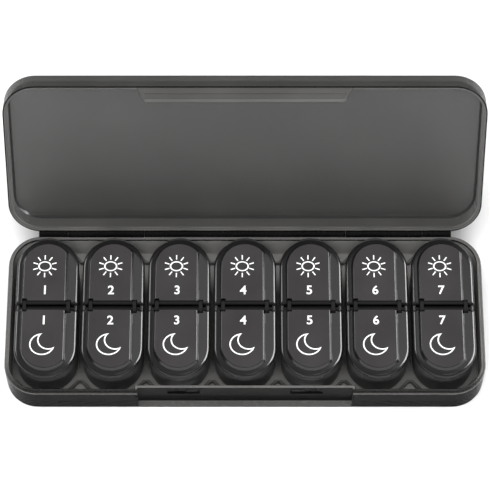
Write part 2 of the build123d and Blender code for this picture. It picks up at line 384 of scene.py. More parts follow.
def finish_faces(shell, finishes, finish, chosen):
    """Give one of a piece's finishes to the faces whose middles are chosen."""
    for face in shell.faces:
        if chosen(*face.calc_center_median()):
            face.material_index = finishes.index(finish)


def everywhere(x, y, z):
    """Every face of a shell."""
    return True


def inside_tray(x, y, z):
    """Floor and inner walls, without the wall of the latch recess."""
    by_recess = abs(x) < recess_half + recess_wall + near and y < recess_back + recess_wall - near
    within = from_edge(x, y) > tray_wall - near and tray_floor - near < z < ledge_height
    return within and not by_recess


def on_floor(x, y, z):
    """Floor of the tray, under the day boxes and between them."""
    return inside_tray(x, y, z) and z < tray_floor + near


def on_rim(x, y, z):
    """Ledge and lip, all round."""
    return z > ledge_height - rim_band


def under_lip(x, y, z):
    """Inner side of the lip, which lies in its own shade."""
    return from_edge(x, y) > tray_wall - 2 * near and ledge_height < z < ledge_height + lip_height


def on_pale_edge(x, y, z):
    """Outer edge of the ledge, top of the recess wall and shelf of the recess, painted pale as
    highlights.
    """
    in_recess = abs(x) < recess_half + near and y < recess_back + recess_wall
    on_flat = abs(z - recess_shelf) < near or z > ledge_height + lip_height - lip_crown
    return (on_rim(x, y, z) and from_edge(x, y) < ledge_edge) or (in_recess and on_flat)


def in_catch_slot(x, y, z):
    """Sides of the slots that the lid's snap ridges drop into, painted dark as shade."""
    across = abs(abs(x) - catch_at) < catch_length / 2 + near / 2
    along = recess_back < y < recess_back + recess_wall
    return across and along and abs(z - catch_level) < catch_height / 2 + near / 2


def warm_grey(shade):
    """Colour of the smoked plastic at a shade."""
    return [shade, shade * 0.98, shade * 0.95]


def shaded_smoke(name, shades, clearness, roughness, gloss):
    """Smoked plastic with painted light and shade in place of a plain tint, which follow the depth of
    the case by (y, shade) pairs from the front.
    """
    material = smoked_plastic(name, warm_grey(shades[0][1]), clearness, roughness, gloss)
    nodes, links = material.node_tree.nodes, material.node_tree.links
    nodes.remove(nodes["Noise Texture"])
    axes = nodes.new("ShaderNodeSeparateXYZ")
    depth = nodes.new("ShaderNodeMapRange")
    depth.inputs["From Min"].default_value = -case_depth / 2 * mm
    depth.inputs["From Max"].default_value = case_depth / 2 * mm
    stops = nodes["Color Ramp"].color_ramp.elements
    stops.remove(stops[1])
    stops[0].position = 0.0
    stops[0].color = warm_grey(shades[0][1]) + [1.0]
    for y, shade in shades:
        stops.new(y / case_depth + 0.5).color = warm_grey(shade) + [1.0]
    links.new(nodes["Texture Coordinate"].outputs["Object"], axes.inputs["Vector"])
    links.new(axes.outputs["Y"], depth.inputs["Value"])
    links.new(depth.outputs["Result"], nodes["Color Ramp"].inputs["Fac"])
    return material


wall_smoke = smoked_plastic("Outer wall smoke", (0.0055, 0.0054, 0.0053), 0.1, 0.18, 0.008)
# painted light: the inside of the tray is coloured pale and grows paler towards the back
inner_painted_light_smoke = shaded_smoke("Tray inner painted light smoke", [(24, 0.25), (34, 0.42)], 0.08, 0.45, 0.2)
# painted shade: the ledge and lip are dark at the front and paler at the sides and back
rim_painted_shade_smoke = shaded_smoke("Tray rim painted shade smoke", [(-36, 0.012), (-22, 0.098)], 0.08, 0.25, 0.2)
# painted highlight: pale smoke on the ledge's outer edge and in the recess
highlight_edge_smoke = smoked_plastic("Tray painted highlight smoke", (0.095, 0.093, 0.09), 0.08, 0.25, 0.3)
# very dark smoke for the hinge, also used as painted shade inside the lip, in the catch slots and on
# the lid's rim edge
hinge_and_shade_smoke = smoked_plastic("Hinge and painted shade smoke", (0.004, 0.0039, 0.0038), 0.02, 0.25, 0.05)
# painted shade: the floor is dark under and between the boxes and paler at the front and back
floor_painted_shades = [(-24, 0.17), (-16, 0.06), (16, 0.06), (24, 0.25)]
floor_painted_shade_smoke = shaded_smoke("Tray floor painted shade smoke", floor_painted_shades, 0.08, 0.45, 0.2)
tray_finishes = [wall_smoke, inner_painted_light_smoke, rim_painted_shade_smoke, hinge_and_shade_smoke, highlight_edge_smoke, floor_painted_shade_smoke]
for finish, chosen in (
    (inner_painted_light_smoke, inside_tray),
    (floor_painted_shade_smoke, on_floor),
    (rim_painted_shade_smoke, on_rim),
    (hinge_and_shade_smoke, under_lip),
    (highlight_edge_smoke, on_pale_edge),
    (hinge_and_shade_smoke, in_catch_slot),
):
    finish_faces(tray_shell, tray_finishes, finish, chosen)
finish_faces(tray_rail, tray_finishes, hinge_and_shade_smoke, everywhere)
tray = moulding("tray_shell", together([tray_shell, tray_rail]), tray_finishes)
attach(tray, "tray")
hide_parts("tray")

# Tray ribs: low hollow wedges of the same smoked plastic, moulded on the tray's floor in a row at
# the front and one at the back. Their narrow ends point between the day boxes and keep them apart.
days = 7
day_pitch = 29.0
rib_nose = 1.3
rib_thickness = 0.8
rib_slope = 0.93
rib_height = 2.4
rib_edge = 0.14
front_reach = 9.2
back_reach = 5.6
rib_clear = 0.02  # gap to the walls, so that no rib shows through them
rib_levels = (0.5, 8.0)  # heights between which the ribs are kept
rib_cut_top = 12.0
rib_cut_edge = 0.1
inner_wall = case_depth / 2 - tray_wall


def rib(wall, reach, inward):
    """First wedge of a row, at the tray's left end."""
    inner_nose, inner_reach = rib_nose - rib_thickness, reach - rib_thickness
    foot = rib_nose + reach * rib_slope
    inner_foot = inner_nose + inner_reach * rib_slope
    plan = [(-foot, 0), (-rib_nose, reach), (rib_nose, reach), (foot, 0)]
    plan += [(inner_foot, 0), (inner_nose, inner_reach), (-inner_nose, inner_reach), (-inner_foot, 0)]
    wedge = loft(
        [
            [(x - days / 2 * day_pitch, wall + inward * y, z) for x, y in plan]
            for z in (tray_floor - overlap, tray_floor + rib_height)
        ]
    )
    bmesh.ops.bevel(
        wedge, geom=wedge.edges[:], offset=rib_edge, segments=2, affect="EDGES", profile=0.5
    )
    return wedge


row_tree = bpy.data.node_groups.new("Row of ribs", "GeometryNodeTree")
row_tree.interface.new_socket("Geometry", in_out="OUTPUT", socket_type="NodeSocketGeometry")
row_tree.interface.new_socket("Rib", in_out="INPUT", socket_type="NodeSocketGeometry")
row_count = row_tree.interface.new_socket("Count", in_out="INPUT", socket_type="NodeSocketInt")
row_pitch = row_tree.interface.new_socket("Pitch", in_out="INPUT", socket_type="NodeSocketFloat")
row_in = row_tree.nodes.new("NodeGroupInput")
row_out = row_tree.nodes.new("NodeGroupOutput")
row_step = row_tree.nodes.new("ShaderNodeCombineXYZ")
row_line = row_tree.nodes.new("GeometryNodeMeshLine")
row_spread = row_tree.nodes.new("GeometryNodeInstanceOnPoints")
row_solid = row_tree.nodes.new("GeometryNodeRealizeInstances")
row_paint = row_tree.nodes.new("GeometryNodeSetMaterial")
# the ribs take the rim's painted shade, dark at the front and paler at the back
row_paint.inputs["Material"].default_value = rim_painted_shade_smoke
for source, target in (
    (row_in.outputs["Pitch"], row_step.inputs["X"]),
    (row_in.outputs["Count"], row_line.inputs["Count"]),
    (row_step.outputs["Vector"], row_line.inputs["Offset"]),
    (row_line.outputs["Mesh"], row_spread.inputs["Points"]),
    (row_in.outputs["Rib"], row_spread.inputs["Instance"]),
    (row_spread.outputs["Instances"], row_solid.inputs["Geometry"]),
    (row_solid.outputs["Geometry"], row_paint.inputs["Geometry"]),
    (row_paint.outputs["Geometry"], row_out.inputs["Geometry"]),
):
    row_tree.links.new(source, target)
rib_rows = bmesh.new()
for wedge in (rib(-inner_wall, front_reach, 1), rib(inner_wall, back_reach, -1)):
    first_rib = bpy.data.meshes.new("first_rib")
    wedge.to_mesh(first_rib)
    row_maker = bpy.data.objects.new("row_maker", first_rib)
    row_modifier = row_maker.modifiers.new("Row of ribs", "NODES")
    row_modifier.node_group = row_tree
    row_modifier[row_count.identifier] = days + 1
    row_modifier[row_pitch.identifier] = day_pitch
    rib_rows.from_mesh(plain_mesh(row_maker))
tray_inside = loft(
    [rounded_rectangle(case_size, case_corner, tray_wall + rib_clear, z) for z in rib_levels]
)
recess_room = block(
    (-recess_half - recess_wall - rib_clear, front - clear_front, 0),
    (recess_half + recess_wall + rib_clear, recess_back + recess_wall + rib_clear, rib_cut_top),
    rib_cut_edge,
)
tray_ribs = carve(carve(rib_rows, [tray_inside], "INTERSECT"), [recess_room])
ribs = moulding("tray_ribs", tray_ribs, [rim_painted_shade_smoke])
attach(ribs, "tray")

# Case hinge pin: one drawn steel wire, pushed through the rail's and the lid's knuckles, with
# fine draw marks along its length.
wire_steel = bpy.data.materials.new("Drawn wire")
wire_steel.use_nodes = True
wire_nodes, wire_links = wire_steel.node_tree.nodes, wire_steel.node_tree.links
wire_shader = wire_nodes["Principled BSDF"]
wire_shader.inputs["Metallic"].default_value = 1.0
wire_tint = wire_nodes.new("ShaderNodeValToRGB")
wire_tint.color_ramp.elements[0].color = (0.45, 0.45, 0.46, 1.0)
wire_tint.color_ramp.elements[1].color = (0.6, 0.6, 0.61, 1.0)
wire_place = wire_nodes.new("ShaderNodeTexCoord")
wire_stretch = wire_nodes.new("ShaderNodeMapping")
wire_stretch.inputs["Scale"].default_value = (40.0, 9000.0, 9000.0)
wire_draw = wire_nodes.new("ShaderNodeTexNoise")
wire_draw.inputs["Scale"].default_value = 1.0
wire_range = wire_nodes.new("ShaderNodeMapRange")
wire_range.inputs["To Min"].default_value = 0.25
wire_range.inputs["To Max"].default_value = 0.5
wire_links.new(wire_place.outputs["Object"], wire_stretch.inputs["Vector"])
wire_links.new(wire_stretch.outputs["Vector"], wire_draw.inputs["Vector"])
wire_links.new(wire_draw.outputs["Fac"], wire_tint.inputs["Fac"])
wire_links.new(wire_tint.outputs["Color"], wire_shader.inputs["Base Color"])
wire_links.new(wire_draw.outputs["Fac"], wire_range.inputs["Value"])
wire_links.new(wire_range.outputs["Result"], wire_shader.inputs["Roughness"])
pin = frame["nodes"]["case_hinge_pin"]
pin.data.materials.clear()
pin.data.materials.append(wire_steel)

# Case lid: the cover of the case in smoked plastic, clearer than the tray. It is drawn closed and
# then swung back on its hinge. Its rim steps over the tray's lip, and the latch tongue in front
# has a grip bar outside, and two snap ridges and four stiffening ribs inside.
rim_height = 15.35
lid_top = 25.7
lid_panel = 1.7
lid_wall = 1.8
lid_cove = 1.0
lid_round = 1.6
cove_round = 0.6
panel_start = 5.0  # where the flat panel starts, inside and outside
rim_inset = 1.05
rim_middle = 0.6
rim_step = 16.5
rim_round = 0.25
step_rounds = (0.2, 0.1)  # upper and lower corner of the rim's step
lid_open = math.radians(119)
tongue_tip = 5.8
tongue_half = 46.4
tongue_tip_half = 43.0
tongue_corner = 1.5
tongue_round = 0.25
tongue_rim = 0.4  # where its flat faces start
tongue_setback = 0.5
tongue_front = front + tongue_setback
tongue_back = front + lid_wall
grip_bar = (10.3, 12.6)  # lower and upper edge
grip_edge = 0.15
grip_root = 0.2  # a root is how far a part reaches into the one it stands on
ridge_half = (6.3, 0.9)  # along and across
ridge_rise = 0.5
ridge_slope = 0.3
ridge_root = 0.1
tongue_rib_at = (14.5, 40.9)
tongue_rib_half = 0.45
tongue_rib_foot = 0.3
tongue_rib_root = 0.2
tongue_rib_edge = 0.12
cove_drop = 0.03  # below the panel, where its cove begins to show
rim_edge = 0.3  # height of the painted shade on the rim's edge

lid_section = rounded_path(
    [
        (panel_start, lid_top - lid_panel, 0),
        (lid_wall + lid_cove, lid_top - lid_panel, cove_round),
        (lid_wall, lid_top - lid_panel - lid_cove, cove_round),
        (lid_wall, rim_step, step_rounds[0]),
        (rim_inset, rim_step, step_rounds[1]),
        (rim_inset, rim_height, rim_round),
        (rim_middle, rim_height, 0),
        (0, rim_height, rim_round),
        (0, lid_top, lid_round),
        (panel_start, lid_top, 0),
    ],
    5,
)
lid_shell = loft([rounded_rectangle(case_size, case_corner, inset, z) for inset, z in lid_section])
rail_room = (-hinge_half - knuckle_gap, hinge_half + knuckle_gap)
lid_shell = carve(lid_shell, [rod(knuckle_radius + knuckle_gap, rail_room, *hinge_line)])


def tongue_ring(inset, y):
    """Outline of the latch tongue, seen from the front: tapered sides and round lower corners."""
    half, tip_half = tongue_half - inset, tongue_tip_half - inset
    side = rounded_path(
        [
            (half, rim_step, 0),
            (half, ledge_height, 0),
            (tip_half, tongue_tip + inset, tongue_corner),
            (0, tongue_tip + inset, 0),
        ],
        6,
    )
    other = [Vector((-x, z)) for x, z in reversed(side[:-1])]
    return [(x, y, z) for x, z in side + other]


tongue_edge = rounded_path(
    [
        (tongue_rim, tongue_front, 0),
        (0, tongue_front, tongue_round),
        (0, tongue_back, tongue_round),
        (tongue_rim, tongue_back, 0),
    ],
    3,
)
tongue_parts = [
    loft([tongue_ring(inset, y) for inset, y in tongue_edge]),
    block(
        (-tongue_tip_half, front, grip_bar[0]),
        (tongue_tip_half, tongue_front + grip_root, grip_bar[1]),
        grip_edge,
    ),
]
barrels = []
for side in (-1, 1):
    tongue_parts.append(
        loft(
            [
                [
                    (
                        side * catch_at + a * (ridge_half[0] - slope),
                        y,
                        catch_level + b * (ridge_half[1] - slope),
                    )
                    for a, b in ((-1, -1), (1, -1), (1, 1), (-1, 1))
                ]
                for y, slope in (
                    (tongue_back - ridge_root, 0),
                    (tongue_back + ridge_rise, ridge_slope),
                )
            ]
        )
    )
    for rib_at in tongue_rib_at:
        rib_x = side * rib_at
        rib_end = lid_top - lid_panel + ridge_root
        tongue_parts.append(
            block(
                (rib_x - tongue_rib_half, tongue_back - tongue_rib_root, tongue_tip + tongue_rib_foot),
                (rib_x + tongue_rib_half, tongue_back + ridge_rise, rib_end),
                tongue_rib_edge,
            )
        )
    barrel = knuckle((side * knuckle_at - knuckle_half, side * knuckle_at + knuckle_half), 1)
    barrels.append(carve(barrel, [rod(pin_bore, bore_reach, *hinge_line)]))
tongue, barrels = together(tongue_parts), together(barrels)


def on_inner_wall(x, y, z):
    """Inside of the lid's walls, up to the panel."""
    within = rim_inset - near < from_edge(x, y) < lid_wall + lid_cove + near
    return within and rim_step - near < z < lid_top - lid_panel / 2


def on_outer_wall(x, y, z):
    """Outside of the lid's walls, round to the panel."""
    inset = from_edge(x, y)
    return inset < lid_round and (z > lid_top - lid_panel or inset < near)


def on_cove(x, y, z):
    """Bevel inside, where the walls meet the panel."""
    drop = lid_top - lid_panel - z
    within = lid_wall - near < from_edge(x, y) < lid_wall + lid_cove + 2 * near
    return within and cove_drop < drop < lid_cove + near


def on_rim_step(x, y, z):
    """Inner half of the rim and the step above it, painted pale as highlights where they catch the
    light.
    """
    return z < rim_step + near and from_edge(x, y) > rim_middle


def on_dark_edge(x, y, z):
    """Outer edge of the rim, painted dark as shade."""
    return z < rim_height + rim_edge and from_edge(x, y) < rim_middle


lid_smoke = smoked_plastic("Lid panel smoke", (0.032, 0.0313, 0.0302), 0.24, 0.28, 0.2)
# pale smoke for the tongue, also used as a painted highlight on the rim's step
tongue_and_highlight_smoke = smoked_plastic("Tongue and painted highlight smoke", (0.095, 0.0933, 0.09), 0.04, 0.3, 0.03)
# painted shade: the cove between the walls and the panel is darker than both
cove_shade_smoke = smoked_plastic("Lid cove painted shade smoke", (0.018, 0.0176, 0.017), 0.05, 0.18, 0.4)
# lit and shaded copies of the same smoke: the inner walls are painted lighter, the outer walls darker
inner_wall_light_smoke = smoked_plastic("Lid inner wall painted light smoke", (0.068, 0.0668, 0.0645), 0.1, 0.3, 0.03)
outer_wall_shade_smoke = smoked_plastic("Lid outer wall painted shade smoke", (0.049, 0.0481, 0.0465), 0.1, 0.3, 0.03)
end_light_reach = (90.0, 104.0)  # painted light: towards the ends the walls are made clearer, so they look lighter
end_light_alpha = (0.9, 0.7)
for material in (inner_wall_light_smoke, outer_wall_shade_smoke):
    nodes, links = material.node_tree.nodes, material.node_tree.links
    axes = nodes.new("ShaderNodeSeparateXYZ")
    reach = nodes.new("ShaderNodeMath")
    reach.operation = "ABSOLUTE"
    end_light = nodes.new("ShaderNodeMapRange")
    end_light.interpolation_type = "SMOOTHSTEP"
    for end, distance, alpha in zip(("Min", "Max"), end_light_reach, end_light_alpha):
        end_light.inputs["From " + end].default_value = distance * mm
        end_light.inputs["To " + end].default_value = alpha
    links.new(nodes["Texture Coordinate"].outputs["Object"], axes.inputs["Vector"])
    links.new(axes.outputs["X"], reach.inputs[0])
    links.new(reach.outputs["Value"], end_light.inputs["Value"])
    links.new(end_light.outputs["Result"], nodes["Principled BSDF"].inputs["Alpha"])
lid_finishes = [lid_smoke, inner_wall_light_smoke, hinge_and_shade_smoke, tongue_and_highlight_smoke, cove_shade_smoke, outer_wall_shade_smoke]
for finish, chosen in (
    (inner_wall_light_smoke, on_inner_wall),
    (outer_wall_shade_smoke, on_outer_wall),
    (cove_shade_smoke, on_cove),
    (tongue_and_highlight_smoke, on_rim_step),
    (hinge_and_shade_smoke, on_dark_edge),
):
    finish_faces(lid_shell, lid_finishes, finish, chosen)
finish_faces(tongue, lid_finishes, tongue_and_highlight_smoke, everywhere)
finish_faces(barrels, lid_finishes, hinge_and_shade_smoke, everywhere)
hinge_point = Vector((0, *hinge_line))
swing = (
    Matrix.Translation(hinge_point)
    @ Matrix.Rotation(-lid_open, 4, "X")
    @ Matrix.Translation(-hinge_point)
)
lid_parts = together([lid_shell, tongue, barrels])
case_lid = moulding("case_lid_shell", lid_parts, lid_finishes, swing)
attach(case_lid, "case_lid")
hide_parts("case_lid")

# Day boxes: seven round-ended cups in polished dark plastic, each standing loose in the tray. A
# partition splits each cup, and two ears on it hold the hinge rods of the flip lids.
row_y = 0.8  # middle of the row of boxes
lid_length = 66.0
lid_width = 27.4
box_bottom = 1.75
box_rim = 19.5
box_floor = 2.95
box_inset = 0.5
box_wall = 1.2
box_foot = 1.4
foot_round = 0.6
cup_rim_round = 0.3
cup_round = 1.0
box_under_inset = 4.0  # where the flat underside starts
box_floor_inset = 5.0  # where the flat floor starts
partition_half = 0.7
partition_top = 20.4
partition_edge = 0.2
partition_root = 0.3
strip_root = 0.5  # of the strip between the ears
rod_at = 1.5
rod_height = 21.9
rod_bore = 0.85
bore_half = 3.0
ear_at = 9.6
ear_half = 0.8
ear_radius = 1.35
ear_drop = 4.6
ear_arc = (-22.0, 90.0)  # degrees, from the neck to the top
ear_steps = 8
lid_middle = lid_length / 2 - lid_width / 2  # centre of the round end, from the hinge side


def round_ended(inset, height, steps=24):
    """Ring round the outline of a day box, drawn in by an inset."""
    radius = lid_width / 2 - inset
    ring = []
    for end in (1, -1):
        for step in range(steps + 1):
            turn = step / steps * math.pi
            ring.append(
                (end * radius * math.cos(turn), end * (lid_middle + radius * math.sin(turn)), height)
            )
    return ring


def ear(x):
    """Ear on the partition, with a bore for the rod of each lid."""
    section = []
    for step in range(ear_steps + 1):
        turn = math.radians(ear_arc[0] + (ear_arc[1] - ear_arc[0]) * step / ear_steps)
        section.append((rod_at + ear_radius * math.cos(turn), ear_radius * math.sin(turn)))
    section += [(-y, z) for y, z in reversed(section)]
    section += [(-partition_half, -ear_drop), (partition_half, -ear_drop)]
    plate = loft([[(x + a, y, rod_height + z) for y, z in section] for a in (-ear_half, ear_half)])
    bores = [rod(rod_bore, (x - bore_half, x + bore_half), y, rod_height) for y in (-rod_at, rod_at)]
    return carve(plate, bores)


box_section = rounded_path(
    [
        (box_under_inset, box_bottom, 0),
        (box_inset + box_foot, box_bottom, foot_round),
        (box_inset, box_bottom + box_foot, foot_round),
        (box_inset, box_rim, cup_rim_round),
        (box_inset + box_wall, box_rim, cup_rim_round),
        (box_inset + box_wall, box_floor, cup_round),
        (box_floor_inset, box_floor, 0),
    ]
)
cup_half = lid_width / 2 - box_inset - box_wall / 2
cup = loft([round_ended(inset, z) for inset, z in box_section])
partition = together(
    [
        block((-half, -partition_half, low), (half, partition_half, high), partition_edge)
        for half, low, high in (
            (cup_half, box_floor - partition_root, box_rim),
            (ear_at, box_rim - strip_root, partition_top),
        )
    ]
    + [ear(-ear_at), ear(ear_at)]
)


def dark_plastic(name, colour, roughness, gloss, grain):
    """Dark moulded plastic with a fine grain and a slightly uneven polish."""
    return plastic(
        name,
        colour,
        gloss,
        ior=1.53,
        flow_scale=60.0,
        tints=((0.3, 0.88), (0.7, 1.12)),
        haze=(2600.0, 2.0),
        polish=(roughness * 0.8, roughness * 1.25),
        peel=(grain, 0.01 * mm),
    )


box_dark = dark_plastic("Day box dark", (0.038, 0.0374, 0.038), 0.32, 0.35, 0.04)
# painted shade: the partition strip, ears and lid rods are darker than the box, for the shaded gap
# between the lids
pivot_shade_dark = dark_plastic("Pivot painted shade dark", (0.008, 0.0078, 0.0079), 0.3, 0.12, 0.1)
box_finishes = [box_dark, pivot_shade_dark]
finish_faces(partition, box_finishes, pivot_shade_dark, lambda x, y, z: z > box_rim - strip_root)
cup = together([cup, partition])
day_places = [
    Matrix.Translation(((day - (days - 1) / 2) * day_pitch, row_y, 0)) for day in range(days)
]
for day, place in enumerate(day_places, 1):
    node = f"day_box_{day}"
    box = moulding(f"day_box_cup_{day}", cup, box_finishes, place)
    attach(box, node)
    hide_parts(node)

# Flip lids: two to a box, moulded in dark plastic, polished but for the satin top of the raised
# panel, which is painted lighter in place of a reflection. A hollow plug underneath drops into the
# cup, a tab at the round end lifts the lid, and a rod along its straight edge snaps into the ears.
# The panel is cut straight on its right.
plate_bottom = 19.7
plate_top = 21.7
plate_fall = 0.35
plate_edge_radius = 1.5
plate_chamfer = 0.15
panel_top = 23.3
plate_hinge = 1.35
hinge_share = 0.8  # how much of the plate's inset its hinge side takes
panel_hinge = 1.2
panel_inset = 2.5
panel_side = 4.8
panel_bevel = 0.9
panel_round = 0.4
panel_run = 2.4  # from the panel's foot to its flat top
panel_corner = 0.9
plug_bottom = 18.5
hollow_top = 22.1
plug_inset = 2.0
plug_hinge = 6.0
plug_wall = 2.3
plug_chamfer = 0.2
notch_half = 1.1
notch_reach = (-0.2, 3.15)
notch_past = 1.0  # how far its cutter passes the lid
notch_edge = 0.1
flap_corner = 0.5
round_start = 0.9  # angle at which the round end takes over from the side
round_gap = 0.06  # angle from there to its first point
tab_half = 5.0
tab_reach = 0.7
tab_height = 1.0
tab_root = 1.0
tab_rounds = (0.2, 0.3)  # lower and upper edge
tab_steps = 12
rod_radius = 0.8
top_depth = 0.02  # down to here the panel has its satin finish and painted reflection


def flap_ring(inset, hinge, height, side=None):
    """Ring round a flip lid at the back: straight by the hinge, round at the free end."""
    radius = lid_width / 2 - inset
    right = radius if side is None else lid_width / 2 - side
    soft = radius if side is None else panel_corner
    reach = right - soft
    rise = math.sqrt((radius - soft) ** 2 - reach ** 2)
    meet = round_start if side is None else math.atan2(rise, reach)
    arcs = [
        (flap_corner - radius, hinge + flap_corner, flap_corner, math.pi, 1.5 * math.pi, 4),
        (right - flap_corner, hinge + flap_corner, flap_corner, 1.5 * math.pi, 2 * math.pi, 4),
        (reach, lid_middle + rise, soft, 0.0, meet, 8),
        (0.0, lid_middle, radius, meet + round_gap, math.pi, 24),
    ]
    ring = []
    for x, y, size, start, end, count in arcs:
        for step in range(count + 1):
            turn = start + (end - start) * step / count
            ring.append((x + size * math.cos(turn), y + size * math.sin(turn), height))
    return ring


def flap():
    """Flip lid over the back half of a box, skinned from the hollow underneath to the panel."""
    inner, inner_hinge = plug_inset + plug_wall, plug_hinge + plug_wall
    plug_edge = plug_bottom + plug_chamfer
    rings = [
        flap_ring(inner, inner_hinge, hollow_top),
        flap_ring(inner, inner_hinge, plug_edge),
        flap_ring(inner - plug_chamfer, inner_hinge - plug_chamfer, plug_bottom),
        flap_ring(plug_inset + plug_chamfer, plug_hinge + plug_chamfer, plug_bottom),
        flap_ring(plug_inset, plug_hinge, plug_edge),
        flap_ring(plug_inset, plug_hinge, plate_bottom),
        flap_ring(plate_chamfer, plate_hinge + plate_chamfer, plate_bottom),
    ]
    plate_edge = rounded_path(
        [
            (0, plate_bottom + plate_chamfer, 0),
            (0, plate_top - plate_fall, plate_edge_radius),
            (panel_inset, plate_top, 0),
        ],
        5,
    )
    for inset, z in plate_edge[:-1]:
        rings.append(flap_ring(inset, plate_hinge + hinge_share * inset, z))
    panel_edge = rounded_path(
        [(0, plate_top, 0), (panel_bevel, panel_top, panel_round), (panel_run, panel_top, 0)], 5
    )
    for run, z in panel_edge:
        rings.append(flap_ring(panel_inset + run, panel_hinge + run, z, panel_side + run))
    notches = [
        block(
            (x - notch_half, notch_reach[0], plate_bottom - notch_past),
            (x + notch_half, notch_reach[1], panel_top + notch_past),
            notch_edge,
        )
        for x in (-ear_at, ear_at)
    ]
    return carve(loft(rings), notches)


def lifting_tab():
    """Curved lip at the round end of a flip lid."""
    inner, outer = lid_width / 2 - tab_root, lid_width / 2 + tab_reach
    swing_half = math.asin(tab_half / outer)
    section = rounded_path(
        [
            (inner, plate_bottom, 0),
            (outer, plate_bottom, tab_rounds[0]),
            (outer, plate_bottom + tab_height, tab_rounds[1]),
            (inner, plate_bottom + tab_height, 0),
        ],
        3,
    )
    rings = []
    for step in range(tab_steps + 1):
        turn = math.pi / 2 + swing_half * (1 - 2 * step / tab_steps)
        rings.append([(r * math.cos(turn), lid_middle + r * math.sin(turn), z) for r, z in section])
    return loft(rings)


lid_dark = dark_plastic("Flip lid dark", (0.009, 0.0082, 0.0084), 0.18, 0.4, 0.06)
# painted reflection: the panel's top is coloured lighter than the rest of the lid
panel_painted_reflection = dark_plastic("Flip lid panel painted reflection", (0.0345, 0.0323, 0.0329), 0.45, 0.05, 0.06)
flip_finishes = [lid_dark, pivot_shade_dark, panel_painted_reflection]
lid_rod = rod(rod_radius, (-ear_at - ear_half, ear_at + ear_half), rod_at, rod_height)
finish_faces(lid_rod, flip_finishes, pivot_shade_dark, everywhere)
lid_flap = flap()
finish_faces(lid_flap, flip_finishes, panel_painted_reflection, lambda x, y, z: z > panel_top - top_depth)
back_lid = together([lid_flap, lifting_tab(), lid_rod])
front_lid = back_lid.copy()
bmesh.ops.scale(front_lid, vec=(1, -1, 1), verts=front_lid.verts)
bmesh.ops.reverse_faces(front_lid, faces=front_lid.faces)
for kind, shape in (("sun", back_lid), ("moon", front_lid)):
    for day, place in enumerate(day_places, 1):
        node = f"{kind}_lid_{day}"
        lid = moulding(f"{kind}_lid_flap_{day}", shape, flip_finishes, place)
        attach(lid, node)
        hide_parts(node)

# Prints: white ink, pad-printed on the raised panels as a thin film. Each back lid has a sun with
# ten rays and each front lid a crescent, beside the plain number of its day.
ink_sunk = 0.02  # how much of the film lies in the panel
ink_film = 0.05
print_x = -0.8
sign_x = -1.2
figure_y = 7.2
sign_y = 18.7
figure_height = 4.2
figure_bold = 0.1
capital_share = 0.7  # height of a capital in a font of size 1
sun_sizes = {
    "Ring radius": 2.62,
    "Ring flatness": 0.82,
    "Stroke": 0.68,
    "Rays": 10,
    "Ray middle": 4.3,
    "Ray length": 2.1,
    "Ray width": 0.52,
    "Film": ink_film,
}
moon_radius = 5.4
moon_bite = 4.25
moon_shift = 3.5
moon_turn = math.radians(38)
moon_stroke = 0.6
moon_spread = (1.03, 0.945)
moon_steps = 48
bite_steps = 40

ink = bpy.data.materials.new("White ink")
ink.use_nodes = True
ink_nodes, ink_links = ink.node_tree.nodes, ink.node_tree.links
ink_shader = ink_nodes["Principled BSDF"]
ink_shader.inputs["Roughness"].default_value = 0.45
ink_place = ink_nodes.new("ShaderNodeTexCoord")
ink_cover = ink_nodes.new("ShaderNodeTexNoise")
ink_cover.inputs["Scale"].default_value = 1800.0
ink_cover.inputs["Detail"].default_value = 3.0
ink_tint = ink_nodes.new("ShaderNodeValToRGB")
ink_tint.color_ramp.elements[0].color = (0.78, 0.78, 0.78, 1)
ink_tint.color_ramp.elements[1].color = (0.92, 0.92, 0.92, 1)
ink_links.new(ink_place.outputs["Object"], ink_cover.inputs["Vector"])
ink_links.new(ink_cover.outputs["Fac"], ink_tint.inputs["Fac"])
ink_links.new(ink_tint.outputs["Color"], ink_shader.inputs["Base Color"])

sun_tree = bpy.data.node_groups.new("Sun print", "GeometryNodeTree")
sun_tree.interface.new_socket("Geometry", in_out="OUTPUT", socket_type="NodeSocketGeometry")
sun_sockets = {}
for size_name in sun_sizes:
    socket_type = "NodeSocketInt" if size_name == "Rays" else "NodeSocketFloat"
    sun_sockets[size_name] = sun_tree.interface.new_socket(
        size_name, in_out="INPUT", socket_type=socket_type
    )
sun_in = sun_tree.nodes.new("NodeGroupInput")
sun_out = sun_tree.nodes.new("NodeGroupOutput")
ring_line = sun_tree.nodes.new("GeometryNodeCurvePrimitiveCircle")
ring_line.inputs["Resolution"].default_value = 48
ring_section = sun_tree.nodes.new("GeometryNodeCurvePrimitiveQuadrilateral")
ring_band = sun_tree.nodes.new("GeometryNodeCurveToMesh")
ring_scale = sun_tree.nodes.new("ShaderNodeCombineXYZ")
ring_scale.inputs["X"].default_value = 1.0
ring_scale.inputs["Z"].default_value = 1.0
ring_oval = sun_tree.nodes.new("GeometryNodeTransform")
ray_points = sun_tree.nodes.new("GeometryNodeMeshCircle")
ray_size = sun_tree.nodes.new("ShaderNodeCombineXYZ")
ray_bar = sun_tree.nodes.new("GeometryNodeMeshCube")
ray_place = sun_tree.nodes.new("GeometryNodeInputPosition")
ray_turn = sun_tree.nodes.new("FunctionNodeAlignRotationToVector")
ray_turn.axis = "X"
ray_spread = sun_tree.nodes.new("GeometryNodeInstanceOnPoints")
ray_upright = sun_tree.nodes.new("GeometryNodeTransform")
ray_upright.inputs["Rotation"].default_value = (0, 0, math.pi / 2)
sun_join = sun_tree.nodes.new("GeometryNodeJoinGeometry")
sun_solid = sun_tree.nodes.new("GeometryNodeRealizeInstances")
sun_paint = sun_tree.nodes.new("GeometryNodeSetMaterial")
sun_paint.inputs["Material"].default_value = ink
